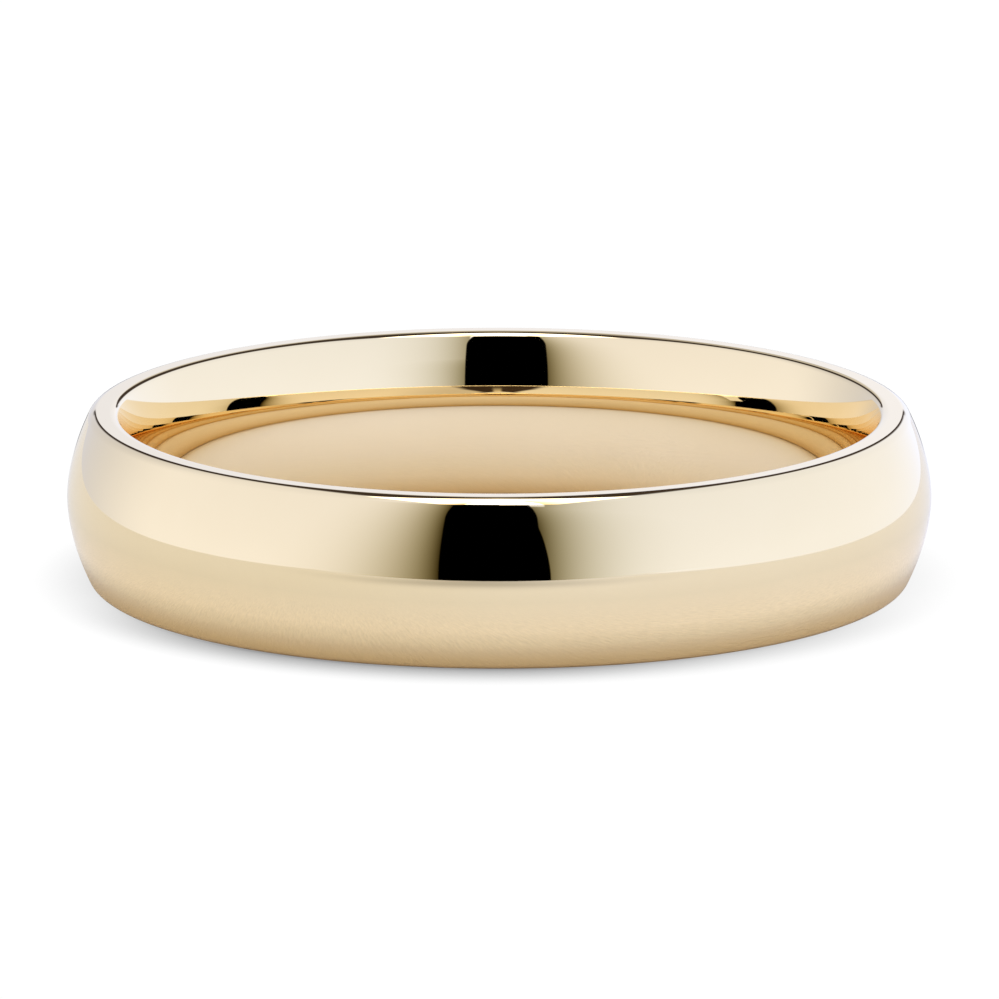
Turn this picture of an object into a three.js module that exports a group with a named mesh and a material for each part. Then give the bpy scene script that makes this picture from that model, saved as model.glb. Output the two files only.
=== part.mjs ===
// Plain comfort-fit wedding band, polished yellow gold, one seamless piece of metal.
// Millimetres, +Z up. The band lies on one edge: its finger axis is Z, and the origin is on
// that axis in the plane of the lower edge.
import * as THREE from "three";

// Driving dimensions.
const BAND_WIDTH = 4.0; // along the finger
const BORE_DIAMETER = 17.0; // at mid-width, where it is narrowest: just over US ring size 6 1/2
const THICKNESS = 1.58; // at mid-width, where the band is thickest

// The outside is a dome, and the inside a shallower one that bulges towards the finger. On both,
// the radius moves off its mid-width value with (distance from mid-width) ** power.
const OUTER_DOME_FALL = 0.563; // by the full half-width
const OUTER_DOME_POWER = 1.81; // close to a circular arc
const INNER_DOME_FALL = 0.42;
const INNER_DOME_POWER = 2.27; // flatter in the middle, rounder towards the edges

// The rounding between each face and the narrow flat land on the edge: one arc leaves the face,
// and from the given tilt, in degrees, a second one runs on into the land.
const OUTER_CORNER = { atFace: 0.29, atLand: 0.2, change: 60 };
const INNER_CORNER = { atFace: 0.145, atLand: 0.5, change: 76 };

// How finely the round shapes are cut.
const SEGMENTS_AROUND = 96;
const OUTER_DOME_STEPS = 8; // from mid-width to the corner
const INNER_DOME_STEPS = 7;
const ARC_STEPS = 2; // in each of a corner's two arcs

const GOLD = { color: 0xe6c590, roughness: 0.08, metalness: 1.0 };

const HALF_WIDTH = BAND_WIDTH / 2;
const BORE_RADIUS = BORE_DIAMETER / 2;

// side is +1 for the face that looks away from the finger and -1 for the one that touches it.
const OUTER_FACE = {
  side: 1,
  middleRadius: BORE_RADIUS + THICKNESS,
  fall: OUTER_DOME_FALL,
  power: OUTER_DOME_POWER,
  corner: OUTER_CORNER,
  steps: OUTER_DOME_STEPS,
};
const INNER_FACE = {
  side: -1,
  middleRadius: BORE_RADIUS,
  fall: INNER_DOME_FALL,
  power: INNER_DOME_POWER,
  corner: INNER_CORNER,
  steps: INNER_DOME_STEPS,
};

// A face's radius at a height above mid-width.
function radiusAt(face, height) {
  return face.middleRadius - face.side * face.fall * (height / HALF_WIDTH) ** face.power;
}

// How far above level the face looks there, as an angle.
function tiltAt(face, height) {
  const share = height / HALF_WIDTH;
  return Math.atan((face.fall * face.power * share ** (face.power - 1)) / HALF_WIDTH);
}

// A corner's two arcs, given the tilt at which it leaves the face.
function arcsOf(corner, startTilt) {
  const change = THREE.MathUtils.degToRad(corner.change);
  return [
    { radius: corner.atFace, from: startTilt, to: change },
    { radius: corner.atLand, from: change, to: Math.PI / 2 },
  ];
}

// How much height an arc gains.
function rise(arc) {
  return arc.radius * (Math.sin(arc.to) - Math.sin(arc.from));
}

// The height at which the corner leaves the face, so that it is tangent to the face and to the
// land both: found by halving.
function heightOfCornerStart(face) {
  let low = 0;
  let high = HALF_WIDTH;
  for (let i = 0; i < 40; i++) {
    const middle = (low + high) / 2;
    const [first, second] = arcsOf(face.corner, tiltAt(face, middle));
    if (middle + rise(first) + rise(second) < HALF_WIDTH) low = middle;
    else high = middle;
  }
  return low;
}

// One face's upper half and its corner, as [radius, height] pairs from mid-width to the land.
function faceAndCorner(face) {
  const cornerStart = heightOfCornerStart(face);
  const points = [];
  for (let i = 0; i <= face.steps; i++) {
    const height = (cornerStart * i) / face.steps;
    points.push([radiusAt(face, height), height]);
  }
  for (const arc of arcsOf(face.corner, tiltAt(face, cornerStart))) {
    const [startRadius, startHeight] = points.at(-1);
    for (let i = 1; i <= ARC_STEPS; i++) {
      const tilt = arc.from + ((arc.to - arc.from) * i) / ARC_STEPS;
      const inset = face.side * arc.radius * (Math.cos(arc.from) - Math.cos(tilt));
      const height = startHeight + arc.radius * (Math.sin(tilt) - Math.sin(arc.from));
      points.push([startRadius - inset, height]);
    }
  }
  return points;
}

// The closed cross-section: up the outside, across the upper land, down the inside and back
// across the lower land.
function crossSection() {
  const upper = [...faceAndCorner(OUTER_FACE), ...faceAndCorner(INNER_FACE).reverse()];
  const lower = upper
    .slice(1, -1)
    .map(([radius, height]) => [radius, -height])
    .reverse();
  const loop = [...upper, ...lower, upper[0]];
  return loop.map(([radius, height]) => new THREE.Vector2(radius, HALF_WIDTH + height));
}

function makeBand() {
  const band = new THREE.Mesh(
    new THREE.LatheGeometry(crossSection(), SEGMENTS_AROUND),
    new THREE.MeshStandardMaterial(GOLD),
  );
  band.name = "band";
  band.rotation.x = Math.PI / 2; // the lathe turns about Y, and the finger axis is Z
  return band;
}

const weddingBand = new THREE.Group();
weddingBand.add(makeBand());

export default weddingBand;
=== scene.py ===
"""A plain comfort-fit wedding band in mirror-polished gold, lying on a pale sheet in a light tent.

Everything is in metres, in the CAD frame: the finger axis is Z, and the band lies on z = 0.
"""

import math

import bpy
import numpy as np
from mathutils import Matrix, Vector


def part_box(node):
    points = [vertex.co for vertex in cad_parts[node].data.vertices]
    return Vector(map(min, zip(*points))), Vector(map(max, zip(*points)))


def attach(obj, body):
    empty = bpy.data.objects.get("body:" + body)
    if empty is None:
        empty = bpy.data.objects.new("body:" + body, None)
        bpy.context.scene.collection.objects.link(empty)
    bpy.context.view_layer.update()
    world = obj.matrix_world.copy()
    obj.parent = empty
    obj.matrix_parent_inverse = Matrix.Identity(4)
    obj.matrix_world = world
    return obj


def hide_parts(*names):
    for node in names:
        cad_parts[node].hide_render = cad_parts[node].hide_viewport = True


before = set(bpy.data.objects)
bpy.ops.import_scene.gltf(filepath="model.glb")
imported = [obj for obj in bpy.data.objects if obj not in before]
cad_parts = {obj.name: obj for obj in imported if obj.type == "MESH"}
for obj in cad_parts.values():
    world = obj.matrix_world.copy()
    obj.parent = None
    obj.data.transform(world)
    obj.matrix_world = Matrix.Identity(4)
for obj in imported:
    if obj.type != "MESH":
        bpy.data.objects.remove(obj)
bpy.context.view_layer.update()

MM = 0.001

# The band's cross-section, as in the CAD model; its outer diameter and width come from the band's box
# in model.glb.
low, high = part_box("band")
HALF_WIDTH = (high.z - low.z) / 2
OUTER_RADIUS = (high.x - low.x) / 2
THICKNESS = 1.58 * MM
BORE_RADIUS = OUTER_RADIUS - THICKNESS
OUTER_DOME_FALL = 0.563 * MM
OUTER_DOME_POWER = 1.81
INNER_DOME_FALL = 0.42 * MM
INNER_DOME_POWER = 2.27
# Each corner is an arc that leaves the face and, from a given tilt, one that runs into the land:
# (first radius, tilt, second radius).
OUTER_CORNER = (0.29 * MM, math.radians(60), 0.2 * MM)
INNER_CORNER = (0.145 * MM, math.radians(76), 0.5 * MM)

# How finely the visible mesh is cut.
SEGMENTS_AROUND = 512
DOME_STEPS = 30
ARC_STEPS = 8
LAND_STEPS = 4
HALVINGS = 40  # of the interval in which a corner's start is sought

# The camera looks down at the band from in front.
VIEW_ELEVATION = math.radians(12.45)
VIEW_DISTANCE = 350 * MM
FRAME_WIDTH = 23.31 * MM  # what the picture takes in at the band's middle
AIM_RIGHT = 0.006 * MM
AIM_BELOW = 0.13 * MM
MOST_BOUNCES = 24


# ---------------------------------------------------------------- node helpers


class Tree:
    """A node tree with short calls for adding nodes and maths."""

    def __init__(self, owner):
        owner.use_nodes = True
        self.tree = owner.node_tree
        self.tree.nodes.clear()

    def add(self, kind, inputs=None, **settings):
        node = self.tree.nodes.new(kind)
        for name, value in settings.items():
            setattr(node, name, value)
        for name, value in (inputs or {}).items():
            self.feed(node.inputs[name], value)
        return node

    def feed(self, socket, value):
        if isinstance(value, bpy.types.NodeSocket):
            self.tree.links.new(value, socket)
        else:
            socket.default_value = value

    def math(self, operation, a, b=0.0):
        return self.add("ShaderNodeMath", {0: a, 1: b}, operation=operation).outputs[0]

    def step(self, value, start, end):
        """0 before start and 1 after end, with a smooth rise between."""
        node = self.add("ShaderNodeMapRange", {"Value": value}, interpolation_type="SMOOTHSTEP")
        self.feed(node.inputs["From Min"], start)
        self.feed(node.inputs["From Max"], end)
        return node.outputs["Result"]

    def times(self, *factors):
        product = factors[0]
        for factor in factors[1:]:
            product = self.math("MULTIPLY", product, factor)
        return product

    def plus(self, a, b):
        return self.math("ADD", a, b)

    def minus(self, a, b):
        return self.math("SUBTRACT", a, b)

    def rest(self, share):
        """What is left of 1."""
        return self.minus(1.0, share)

    def mix(self, share, a, b):
        node = self.add("ShaderNodeMix", data_type="RGBA")
        for socket, value in zip((node.inputs[0], node.inputs[6], node.inputs[7]), (share, a, b)):
            self.feed(socket, value)
        return node.outputs[2]

    def noise(self, vector, scale, detail, roughness):
        settings = {"Vector": vector, "Scale": scale, "Detail": detail, "Roughness": roughness}
        return self.add("ShaderNodeTexNoise", settings).outputs["Fac"]


def grey(value):
    return (value, value, value, 1)


# ---------------------------------------------------------------- the band


def face_rows(side, middle_radius, fall, power, corner):
    """(radius, height, tilt) from mid-width to the land. Tilt is how far the face looks upwards."""
    first_radius, change, second_radius = corner

    def radius_at(height):
        return middle_radius - side * fall * (height / HALF_WIDTH) ** power

    def tilt_at(height):
        return math.atan(fall * power * (height / HALF_WIDTH) ** (power - 1) / HALF_WIDTH)

    # Halve towards the height at which the corner leaves the face, to be tangent to the land too.
    low_guess, high_guess = 0, HALF_WIDTH
    for _ in range(HALVINGS):
        start = (low_guess + high_guess) / 2
        rise = first_radius * (math.sin(change) - math.sin(tilt_at(start)))
        rise += second_radius * (1 - math.sin(change))
        if start + rise < HALF_WIDTH:
            low_guess = start
        else:
            high_guess = start
    rows = []
    for i in range(DOME_STEPS + 1):
        height = start * i / DOME_STEPS
        rows.append((radius_at(height), height, tilt_at(height)))
    for arc_radius, last_tilt in ((first_radius, change), (second_radius, math.pi / 2)):
        radius, height, first_tilt = rows[-1]
        for i in range(1, ARC_STEPS + 1):
            tilt = first_tilt + (last_tilt - first_tilt) * i / ARC_STEPS
            inset = arc_radius * (math.cos(first_tilt) - math.cos(tilt))
            gain = arc_radius * (math.sin(tilt) - math.sin(first_tilt))
            rows.append((radius - side * inset, height + gain, tilt))
    return rows


def with_normals(rows, side):
    """Turn each (radius, height, tilt) into radius, height and the normal's two parts."""
    return [(radius, height, side * math.cos(tilt), math.sin(tilt)) for radius, height, tilt in rows]


def cross_section():
    """(radius, height, radial part of the normal, upward part) all the way round, once."""
    outer = face_rows(1, OUTER_RADIUS, OUTER_DOME_FALL, OUTER_DOME_POWER, OUTER_CORNER)
    inner = face_rows(-1, BORE_RADIUS, INNER_DOME_FALL, INNER_DOME_POWER, INNER_CORNER)
    rows = with_normals(outer, 1)
    for i in range(1, LAND_STEPS):
        radius = outer[-1][0] + (inner[-1][0] - outer[-1][0]) * i / LAND_STEPS
        rows.append((radius, HALF_WIDTH, 0, 1))
    rows += with_normals(reversed(inner), -1)
    rows += [(radius, -height, across, -up) for radius, height, across, up in reversed(rows[1:-1])]
    return np.array(rows)


def make_band():
    rows = cross_section()
    count = len(rows)
    turn = np.arange(SEGMENTS_AROUND) * 2 * math.pi / SEGMENTS_AROUND
    cos, sin = np.cos(turn)[:, None], np.sin(turn)[:, None]
    level = np.ones_like(cos)
    points = np.stack([cos * rows[:, 0], sin * rows[:, 0], level * (HALF_WIDTH + rows[:, 1])], -1)
    normals = np.stack([cos * rows[:, 2], sin * rows[:, 2], level * rows[:, 3]], -1)

    here = np.arange(SEGMENTS_AROUND)[:, None] * count + np.arange(count)
    beside = np.roll(here, -1, axis=0)
    quads = np.stack([here, beside, np.roll(beside, -1, axis=1), np.roll(here, -1, axis=1)], -1)

    mesh = bpy.data.meshes.new("polished_band")
    mesh.from_pydata(points.reshape(-1, 3).tolist(), [], quads.reshape(-1, 4).tolist())
    mesh.shade_smooth()
    mesh.normals_split_custom_set_from_vertices(normals.reshape(-1, 3).tolist())
    band = bpy.data.objects.new("polished_band", mesh)
    bpy.context.scene.collection.objects.link(band)
    return band


GOLD_DEEP = (0.935, 0.76, 0.47, 1)
GOLD_PALE = (0.945, 0.772, 0.482, 1)
GOLD_FLECK = (0.88, 0.69, 0.40, 1)
SPECK_COLOUR = (0.40, 0.30, 0.18, 1)
AROUND_RADIUS = 9 * MM  # turns an angle round the band into a length
HAIRLINE_STRETCH = 40.0  # how many times longer the polishing hairlines are than wide
POLISH_ROUGHNESS = 0.014
POLISH_RELIEF = 0.001 * MM
# Noise scales, per metre.
CLOUD_SCALE = 320
FINE_SCALE = 5200
HAIRLINE_SCALE = 420
SPECK_SCALE = 900.0


def gold_material():
    """Mirror-polished, with the faint unevenness, hairlines and specks that polishing leaves."""
    material = bpy.data.materials.new("polished_gold")
    tree = Tree(material)
    place = tree.add("ShaderNodeTexCoord").outputs["Object"]
    x, y, z = tree.add("ShaderNodeSeparateXYZ", {0: place}).outputs
    along = tree.times(tree.math("ARCTAN2", y, x), AROUND_RADIUS)
    across = tree.times(z, HAIRLINE_STRETCH)
    around = tree.add("ShaderNodeCombineXYZ", {0: along, 1: across}).outputs[0]

    cloud = tree.noise(place, CLOUD_SCALE, 3, 0.55)
    fine = tree.noise(place, FINE_SCALE, 3, 0.6)
    hairline = tree.step(tree.noise(around, HAIRLINE_SCALE, 4, 0.7), 0.60, 0.78)
    cells = tree.add("ShaderNodeTexVoronoi", {"Vector": place, "Scale": SPECK_SCALE})
    draw = tree.add("ShaderNodeSeparateColor", {0: cells.outputs["Color"]}).outputs[0]
    rare = tree.step(draw, 0.93, 0.96)
    speck = tree.times(tree.step(cells.outputs["Distance"], 0.045, 0.02), rare)

    colour = tree.mix(tree.step(cloud, 0.3, 0.7), GOLD_DEEP, GOLD_PALE)
    colour = tree.mix(tree.times(fine, 0.05), colour, GOLD_FLECK)
    colour = tree.mix(tree.times(speck, 0.6), colour, SPECK_COLOUR)
    roughness = tree.plus(POLISH_ROUGHNESS, tree.times(cloud, 0.012))
    roughness = tree.plus(roughness, tree.times(hairline, 0.02))
    roughness = tree.plus(roughness, tree.times(speck, 0.3))
    height = tree.plus(cloud, tree.times(fine, 0.004))
    height = tree.minus(height, tree.times(hairline, 0.004))
    bump = tree.add("ShaderNodeBump", {"Height": height, "Strength": 1.0, "Distance": POLISH_RELIEF})
    surface = {"Base Color": colour, "Metallic": 1.0, "Roughness": roughness, "Normal": bump.outputs[0]}
    shader = tree.add("ShaderNodeBsdfPrincipled", surface)
    tree.add("ShaderNodeOutputMaterial", {"Surface": shader.outputs[0]})
    return material


# ---------------------------------------------------------------- the studio

# What the tent shows is set by direction from the band: angles, or parts of a unit vector.
TENT_RADIUS = 290 * MM
LEFT_WALL = (1.02, 1.088, 1.34, 1)
RIGHT_WALL = (1.01, 1.13, 1.50, 1)
BACK_LEFT_SHARE = 0.70  # of the left wall's light, far behind the band
UPWARD_LOSS = 0.12  # the walls' loss of light, per radian of elevation
BACKDROP = (1.12, 1.21, 1.50, 1)
DARK_WALL = (0.06, 0.045, 0.04, 1)
PALE_COLUMN = 0.85
STRIP_LIGHT = 4.0

SLOT_LEFT = math.radians(-15.6)
SLOT_RIGHT = math.radians(11)
SLOT_TOP = math.radians(41.5)
SLOT_CORNER = math.radians(10)
SLOT_SOFTNESS = 0.003
STRIP_FRONT = math.radians(41.5)
STRIP_BACK = math.radians(106)  # on the centre line, and further forward to the sides
STRIP_BACK_SLANT = math.radians(55)
STRIP_SPREAD = 0.38  # sideways per unit of height

WALL_NARROWEST = 0.07  # half of the dark wall's width, level with the band
WALL_WIDENING = 0.5  # per unit of height
WALL_WIDEST = 0.33
EDGE_HEIGHT = 0.30  # of the wall's lower edge, on the centre line
EDGE_FALL = 0.67  # per unit sideways
COLUMN_LEFT = 0.02


def seen_only_by_reflections(piece):
    piece.visible_camera = False
    piece.visible_diffuse = False
    piece.visible_transmission = False
    piece.visible_volume_scatter = False
    piece.visible_shadow = False


def wall_light(tree, x, y, elevation):
    """The side walls' colour and strength. The left one is dimmer far behind the band."""
    rightward = tree.step(x, -0.35, 0.35)
    behind_left = tree.times(tree.step(y, 0.2, 0.95), tree.rest(rightward))
    dimming = tree.rest(tree.times(behind_left, 1 - BACK_LEFT_SHARE))
    upward = tree.rest(tree.times(tree.math("MAXIMUM", elevation, 0.0), UPWARD_LOSS))
    return tree.mix(rightward, LEFT_WALL, RIGHT_WALL), tree.times(dimming, upward)


def outside_slot(tree, azimuth, elevation):
    """0 in the opening that the camera looks through, a rounded rectangle, and 1 elsewhere."""
    middle = (SLOT_LEFT + SLOT_RIGHT) / 2
    half_width = (SLOT_RIGHT - SLOT_LEFT) / 2 - SLOT_CORNER
    off_middle = tree.math("ABSOLUTE", tree.minus(azimuth, middle))
    past_side = tree.math("MAXIMUM", tree.minus(off_middle, half_width), 0.0)
    past_top = tree.math("MAXIMUM", tree.minus(elevation, SLOT_TOP - SLOT_CORNER), 0.0)
    corner = tree.add("ShaderNodeCombineXYZ", {0: past_side, 1: past_top}).outputs[0]
    reach = tree.add("ShaderNodeVectorMath", {0: corner}, operation="LENGTH").outputs["Value"]
    return tree.step(reach, SLOT_CORNER - SLOT_SOFTNESS, SLOT_CORNER + SLOT_SOFTNESS)


def dark_wall(tree, aside, z):
    """1 on the dark wall over the backdrop and on the dark floor behind the sheet, 0 elsewhere.

    The wall widens upwards, and its lower edge runs on outwards and down as a dark line.
    """
    reach_aside = tree.plus(WALL_NARROWEST, tree.times(z, WALL_WIDENING))
    reach_aside = tree.math("MINIMUM", reach_aside, WALL_WIDEST)
    within = tree.step(tree.minus(aside, reach_aside), 0.06, -0.05)
    over_line = tree.plus(tree.minus(z, EDGE_HEIGHT), tree.times(aside, EDGE_FALL))
    wall = tree.times(within, tree.step(over_line, -0.025, 0.015))
    on_line = tree.step(tree.math("ABSOLUTE", over_line), 0.03, 0.008)
    line = tree.times(on_line, tree.step(aside, 0.26, 0.14))
    floor = tree.times(tree.step(z, 0.0, -0.02), tree.step(aside, 0.14, 0.11))
    return tree.math("MAXIMUM", tree.math("MAXIMUM", wall, line), floor)


def tent_material():
    """The light tent's inside as a function of direction from the band."""
    material = bpy.data.materials.new("light_tent")
    tree = Tree(material)
    place = tree.add("ShaderNodeTexCoord").outputs["Object"]
    unit = tree.add("ShaderNodeVectorMath", {0: place}, operation="NORMALIZE").outputs[0]
    x, y, z = tree.add("ShaderNodeSeparateXYZ", {0: unit}).outputs
    ahead = tree.times(y, -1.0)
    azimuth = tree.math("ARCTAN2", x, ahead)
    elevation = tree.math("ARCSINE", z)
    over = tree.math("ARCTAN2", z, ahead)  # 0 ahead, a quarter turn at the zenith, a half behind
    aside = tree.math("ABSOLUTE", x)
    spread = tree.math("DIVIDE", aside, tree.math("MAXIMUM", z, 0.001))
    behind = tree.step(y, 0.0, 0.05)

    colour, strength = wall_light(tree, x, y, elevation)
    colour = tree.mix(outside_slot(tree, azimuth, elevation), grey(0.0), colour)

    # The backdrop is straight behind and low down.
    low_down = tree.times(tree.step(z, 0.34, 0.26), tree.step(z, 0.08, 0.14))
    backdrop = tree.times(tree.step(aside, 0.2, 0.1), low_down, behind)
    colour = tree.mix(backdrop, colour, BACKDROP)

    # The bright strip runs overhead, from the opening's top to the dark wall.
    between = tree.step(spread, STRIP_SPREAD + 0.02, STRIP_SPREAD - 0.02)
    above_front = tree.step(over, STRIP_FRONT - 0.01, STRIP_FRONT + 0.01)
    back_edge = tree.minus(STRIP_BACK, tree.times(spread, STRIP_BACK_SLANT))
    past_strip = tree.step(tree.minus(over, back_edge), -0.04, 0.04)
    strip = tree.times(above_front, between, tree.rest(past_strip))
    colour = tree.mix(strip, colour, grey(STRIP_LIGHT))

    # A paler column runs up the dark wall's middle, a little to the left.
    column = tree.step(tree.math("ABSOLUTE", tree.plus(x, COLUMN_LEFT)), 0.06, 0.02)
    column = tree.times(column, tree.step(z, 0.8, 0.25))
    wall_colour = tree.mix(column, DARK_WALL, grey(PALE_COLUMN))
    wall = tree.times(dark_wall(tree, aside, z), past_strip, behind)
    colour = tree.mix(wall, colour, wall_colour)

    light = tree.add("ShaderNodeEmission", {"Color": colour, "Strength": strength})
    tree.add("ShaderNodeOutputMaterial", {"Surface": light.outputs[0]})
    material.cycles.emission_sampling = "NONE"
    return material


def make_tent():
    centre = (0, 0, HALF_WIDTH)
    bpy.ops.mesh.primitive_uv_sphere_add(
        segments=64, ring_count=32, radius=TENT_RADIUS, location=centre
    )
    tent = bpy.context.object
    tent.name = "light_tent"
    tent.data.materials.append(tent_material())
    seen_only_by_reflections(tent)
    return tent


def make_quad(name, corners, material):
    mesh = bpy.data.meshes.new(name)
    mesh.from_pydata(corners, [], [(0, 1, 2, 3)])
    mesh.materials.append(material)
    quad = bpy.data.objects.new(name, mesh)
    bpy.context.scene.collection.objects.link(quad)
    return quad


# Two dark sheer screens stand in front of the band, one each side of the opening. Each is black
# from the centre line to the edge of its core, which draws in with height. From clear_from
# outwards its shade thins, to 1/e over the length fade. Above top a screen is clear over its
# core, and the ceiling's strip shows there. Rounding is how far the core draws in at the top.
LEFT_SCREEN = {
    "side": -1,
    "ahead": 68 * MM,
    "bottom": -60 * MM,
    "top": 62 * MM,
    "clear_from": 17 * MM,
    "fade": 21.8 * MM,
    "fade_loss": 0.165,
    "core": 12 * MM,
    "rounding": 8.5 * MM,
    "top_fade": 2 * MM,
}
RIGHT_SCREEN = {
    "side": 1,
    "ahead": 29 * MM,
    "bottom": 0.83 * MM,
    "top": 18.7 * MM,
    "clear_from": 4.2 * MM,
    "fade": 6.4 * MM,
    "fade_loss": 0,
    "core": 5.65 * MM,
    "rounding": 1.6 * MM,
    "top_fade": 0.565 * MM,
}
CORE_CURVE = 4.6  # how much the core draws in with the square of height, per metre
LEAST_FADE = 0.3  # the smallest share of a screen's fade, where fade_loss shortens it with height
CORE_SOFTNESS = 0.15 * MM
TOP_SOFTNESS = 0.04  # as a share of top
ROUNDING_POWER = 8.0  # of the height, as a share of top
TINT_POWER = {"green": 1.1, "blue": 1.5}  # what a screen lets through is a little yellow
SCREEN_HEIGHT = 150 * MM
SCREEN_WIDTH = 250 * MM


def screen_material(screen):
    material = bpy.data.materials.new("screen")
    tree = Tree(material)
    place = tree.add("ShaderNodeTexCoord").outputs["Object"]
    x, _, z = tree.add("ShaderNodeSeparateXYZ", {0: place}).outputs
    aside = tree.times(x, float(screen["side"]))
    core, top = screen["core"], screen["top"]

    share = tree.math("MINIMUM", tree.math("MAXIMUM", tree.math("DIVIDE", z, top), 0.0), 1.0)
    rounded = tree.times(tree.math("POWER", share, ROUNDING_POWER), screen["rounding"])
    fade = tree.minus(screen["fade"], tree.times(z, screen["fade_loss"]))
    fade = tree.math("MAXIMUM", fade, LEAST_FADE * screen["fade"])
    past = tree.plus(tree.minus(aside, screen["clear_from"]), rounded)
    depth = tree.math("MAXIMUM", tree.math("DIVIDE", past, fade), 0.0)
    clear = tree.rest(tree.math("EXPONENT", tree.times(depth, -1.0)))

    narrowing = tree.times(tree.times(z, z), CORE_CURVE)
    core_edge = tree.minus(tree.minus(core, narrowing), rounded)
    clear = tree.times(clear, tree.step(tree.minus(aside, core_edge), 0.0, CORE_SOFTNESS))
    above = tree.step(z, top, top * (1 + TOP_SOFTNESS))
    over_core = tree.step(aside, core + screen["top_fade"], core)
    clear = tree.math("MAXIMUM", clear, tree.times(above, over_core))

    green = tree.math("POWER", clear, TINT_POWER["green"])
    blue = tree.math("POWER", clear, TINT_POWER["blue"])
    tint = tree.add("ShaderNodeCombineColor", {0: clear, 1: green, 2: blue}).outputs[0]
    sheer = tree.add("ShaderNodeBsdfTransparent", {"Color": tint})
    tree.add("ShaderNodeOutputMaterial", {"Surface": sheer.outputs[0]})
    return material


def make_screen(name, screen):
    y, bottom = -screen["ahead"], screen["bottom"]
    edge = screen["side"] * SCREEN_WIDTH
    corners = [(0, y, bottom), (edge, y, bottom), (edge, y, SCREEN_HEIGHT), (0, y, SCREEN_HEIGHT)]
    quad = make_quad(name, corners, screen_material(screen))
    seen_only_by_reflections(quad)
    return quad


# The paper's painted light and shade by distance from the axis in millimetres: near the band, painted
# warm light that the gold throws on it, and painted shade round the band's foot.
PAPER_PAINTED_LIGHT_AND_SHADE = (
    (6.5, (0.80, 0.79, 0.84)),
    (7.6, (0.81, 0.79, 0.80)),
    (8.2, (0.82, 0.77, 0.73)),
    (8.5, (0.79, 0.71, 0.61)),
    (8.8, (0.73, 0.60, 0.44)),
    (9.7, (0.66, 0.58, 0.47)),
    (10.0, (0.70, 0.65, 0.60)),
    (10.25, (0.77, 0.745, 0.72)),
    (10.8, (0.84, 0.82, 0.82)),
    (11.8, (0.785, 0.775, 0.79)),
    (13.5, (0.73, 0.73, 0.745)),
)
PAPER_RAMP_LENGTH = 20 * MM
# Painted light: the sheet's right side is lit brighter and bluer than its left.
PAPER_LEFT_PAINTED_LIGHT = (1.01, 1.03, 1.085, 1)
PAPER_RIGHT_PAINTED_LIGHT = (1.07, 1.12, 1.285, 1)
PAPER_CORNERS = ((-41, -40.3), (29, -41), (18, 45), (-26, 45))  # in millimetres
PAPER_SHADOW_LEFT = 2 * MM
PAPER_SHADOW_REACH = 13.5 * MM
PAPER_SHADOW_DEPTH = 0.38
# depth of the painted shadow behind the band
PAPER_BACK_SHADOW_DEPTH = 0.95
FIBRE_SCALE = 11000  # per metre
FIBRE_SHORTENING = 0.22  # of the noise lengthways, which lengthens the fibres
FIBRE_RELIEF = 0.02 * MM


# Painted light and shade on the paper: the ramp by distance from the axis, times a painted side light.
def paper_painted_light_and_shade(tree, x, radius):
    ramp = tree.add("ShaderNodeValToRGB", {0: tree.math("DIVIDE", radius, PAPER_RAMP_LENGTH)})
    stops = ramp.color_ramp.elements
    for i, (millimetres, colour) in enumerate(PAPER_PAINTED_LIGHT_AND_SHADE):
        stop = stops[i] if i < 2 else stops.new(1)  # a ramp starts with two stops
        stop.position = millimetres * MM / PAPER_RAMP_LENGTH
        stop.color = (*colour, 1)
    # painted side light on the paper, brighter and bluer towards the right
    tint = tree.mix(tree.step(x, -12 * MM, 12 * MM), PAPER_LEFT_PAINTED_LIGHT, PAPER_RIGHT_PAINTED_LIGHT)
    product = tree.add("ShaderNodeVectorMath", {0: ramp.outputs[0], 1: tint}, operation="MULTIPLY")
    return product.outputs[0]


def paper_shadow(tree, x, y):
    """The opening's painted soft shadow on the front of the sheet, and a painted shadow over the middle
    behind the band.
    """
    across = tree.math("DIVIDE", tree.plus(x, PAPER_SHADOW_LEFT), PAPER_SHADOW_REACH)
    across = tree.math("EXPONENT", tree.times(across, across, -1.0))
    front = tree.times(across, tree.step(y, -16 * MM, -27 * MM))
    middle = tree.step(tree.math("ABSOLUTE", x), 13 * MM, 11 * MM)
    back = tree.times(middle, tree.step(y, 15 * MM, 18 * MM))
    lit_front = tree.rest(tree.times(front, PAPER_SHADOW_DEPTH))
    return tree.times(lit_front, tree.rest(tree.times(back, PAPER_BACK_SHADOW_DEPTH)))


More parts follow.
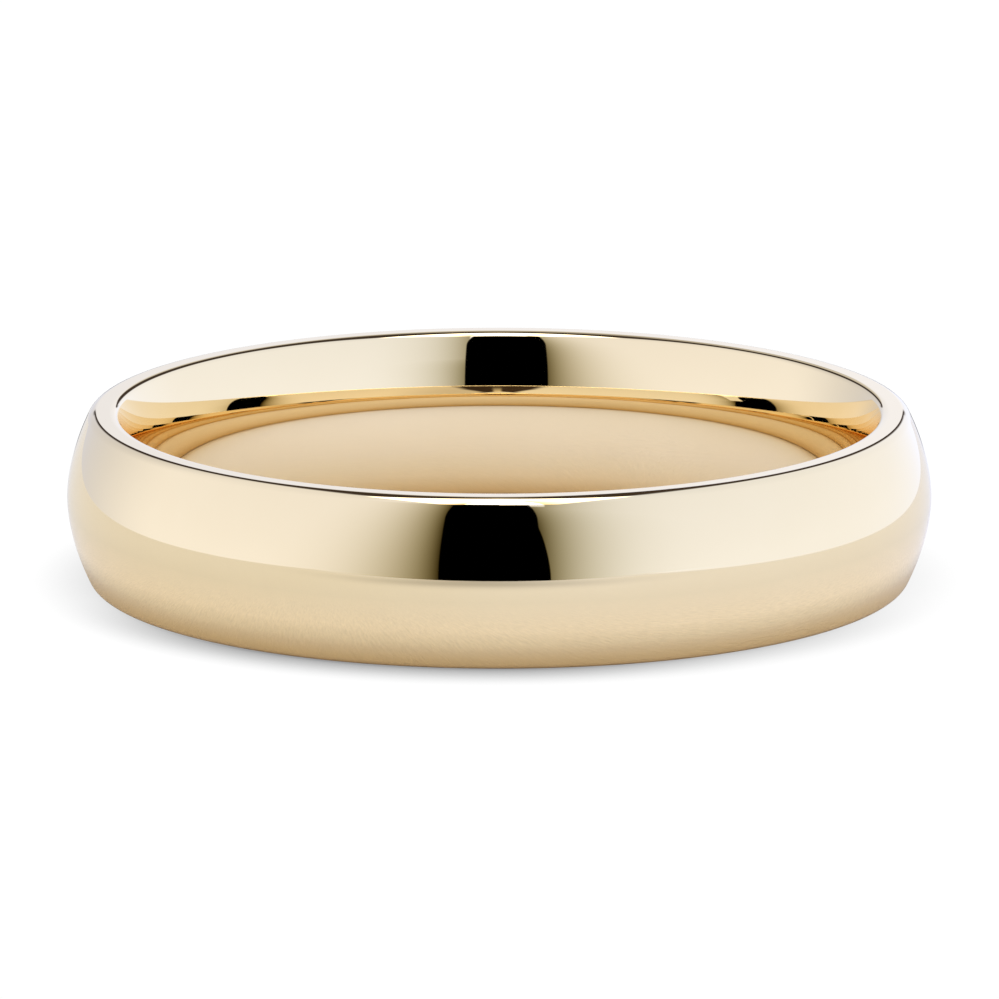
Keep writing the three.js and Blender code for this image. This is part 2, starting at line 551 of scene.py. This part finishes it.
def paper_material():
    material = bpy.data.materials.new("paper_sheet")
    tree = Tree(material)
    place = tree.add("ShaderNodeTexCoord").outputs["Object"]
    x, y, _ = tree.add("ShaderNodeSeparateXYZ", {0: place}).outputs
    radius = tree.add("ShaderNodeVectorMath", {0: place}, operation="LENGTH").outputs["Value"]

    # The fibres lie slantwise. Close to the band their colour is painted more uneven, as painted raking
    # light there; their bump is shaded by the real light as well.
    lengthways = tree.times(tree.plus(x, y), FIBRE_SHORTENING)
    grain = tree.add("ShaderNodeCombineXYZ", {0: lengthways, 1: tree.minus(x, y)}).outputs[0]
    fibres = tree.noise(grain, FIBRE_SCALE, 3, 0.65)
    near = tree.times(tree.step(radius, 9.8 * MM, 10.3 * MM), tree.step(radius, 13 * MM, 10.6 * MM))
    fibre_contrast_and_raking_light = tree.plus(0.08, tree.times(near, 0.26))
    uneven = tree.times(tree.minus(fibres, 0.5), fibre_contrast_and_raking_light)
    light = tree.times(paper_shadow(tree, x, y), tree.plus(1.0, uneven))

    lit = {0: paper_painted_light_and_shade(tree, x, radius), "Scale": light}
    colour = tree.add("ShaderNodeVectorMath", lit, operation="SCALE").outputs[0]
    bump = tree.add("ShaderNodeBump", {"Height": fibres, "Strength": 1.0, "Distance": FIBRE_RELIEF})
    shader = tree.add("ShaderNodeBsdfDiffuse", {"Color": colour, "Normal": bump.outputs[0]})
    tree.add("ShaderNodeOutputMaterial", {"Surface": shader.outputs[0]})
    return material


FLOOR_WHITE = 1.02
FLOOR_SHADOW_REACH = 1.8 * MM
FLOOR_SHADOW_BEHIND = 0.25  # the contact shadow's depth
FLOOR_SHADOW_AHEAD = 0.43  # how much deeper it is in front
FLOOR_RIGHT_LIGHT = 0.45  # how much of it the light from the right takes away


def floor_material():
    """White, with the soft contact shadow of what stands on it."""
    material = bpy.data.materials.new("pale_floor")
    tree = Tree(material)
    place = tree.add("ShaderNodeTexCoord").outputs["Object"]
    x, y, _ = tree.add("ShaderNodeSeparateXYZ", {0: place}).outputs
    openness = tree.add("ShaderNodeAmbientOcclusion", {"Distance": FLOOR_SHADOW_REACH}, samples=16)
    closed = tree.rest(tree.step(openness.outputs["AO"], 0.15, 0.95))
    # Light reaches under the band from the sides, the right above all.
    ahead = tree.times(tree.step(y, -2 * MM, -8 * MM), FLOOR_SHADOW_AHEAD)
    from_right = tree.times(tree.step(x, 0.0, 8 * MM), FLOOR_RIGHT_LIGHT)
    depth = tree.times(tree.plus(FLOOR_SHADOW_BEHIND, ahead), tree.rest(from_right))
    value = tree.minus(FLOOR_WHITE, tree.times(closed, depth))
    light = tree.add("ShaderNodeEmission", {"Color": value})
    tree.add("ShaderNodeOutputMaterial", {"Surface": light.outputs[0]})
    material.cycles.emission_sampling = "NONE"
    return material


FLOOR_REACH = 0.6
FLOOR_DROP = 0.01 * MM  # below the band's lower land
PAPER_DROP = 0.005 * MM


def make_floors():
    square = [(-1, -1), (1, -1), (1, 1), (-1, 1)]
    floor_corners = [(x * FLOOR_REACH, y * FLOOR_REACH, -FLOOR_DROP) for x, y in square]
    floor = make_quad("floor", floor_corners, floor_material())
    floor.visible_glossy = False
    floor.visible_diffuse = False
    paper_corners = [(x * MM, y * MM, -PAPER_DROP) for x, y in PAPER_CORNERS]
    paper = make_quad("paper_sheet", paper_corners, paper_material())
    seen_only_by_reflections(paper)
    return floor, paper


ROOM_LIGHT = 1.15


def make_world():
    world = bpy.data.worlds.new("soft_white")
    bpy.context.scene.world = world
    tree = Tree(world)
    light = tree.add("ShaderNodeBackground", {"Color": grey(1.0), "Strength": ROOM_LIGHT})
    tree.add("ShaderNodeOutputWorld", {"Surface": light.outputs[0]})


def make_camera():
    camera = bpy.data.objects.new("camera", bpy.data.cameras.new("camera"))
    bpy.context.scene.collection.objects.link(camera)
    camera.data.sensor_width = 36
    camera.data.lens = camera.data.sensor_width * VIEW_DISTANCE / FRAME_WIDTH
    camera.data.clip_start = 0.01
    camera.data.clip_end = 2
    forward = np.array([0, math.cos(VIEW_ELEVATION), -math.sin(VIEW_ELEVATION)])
    upward = np.array([0, math.sin(VIEW_ELEVATION), math.cos(VIEW_ELEVATION)])
    target = np.array([AIM_RIGHT, 0, HALF_WIDTH]) - AIM_BELOW * upward
    camera.location = target - VIEW_DISTANCE * forward
    camera.rotation_euler = (math.pi / 2 - VIEW_ELEVATION, 0, 0)
    bpy.context.scene.camera = camera


bpy.context.scene.view_settings.view_transform = "Standard"
# Light bounces many times round the inside of the band.
bpy.context.scene.cycles.max_bounces = MOST_BOUNCES
bpy.context.scene.cycles.glossy_bounces = MOST_BOUNCES
make_camera()
make_world()
left_screen = make_screen("left_screen", LEFT_SCREEN)
right_screen = make_screen("right_screen", RIGHT_SCREEN)
make_tent()
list(make_floors())

band = make_band()
band.data.materials.append(gold_material())
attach(band, "root")
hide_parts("band")
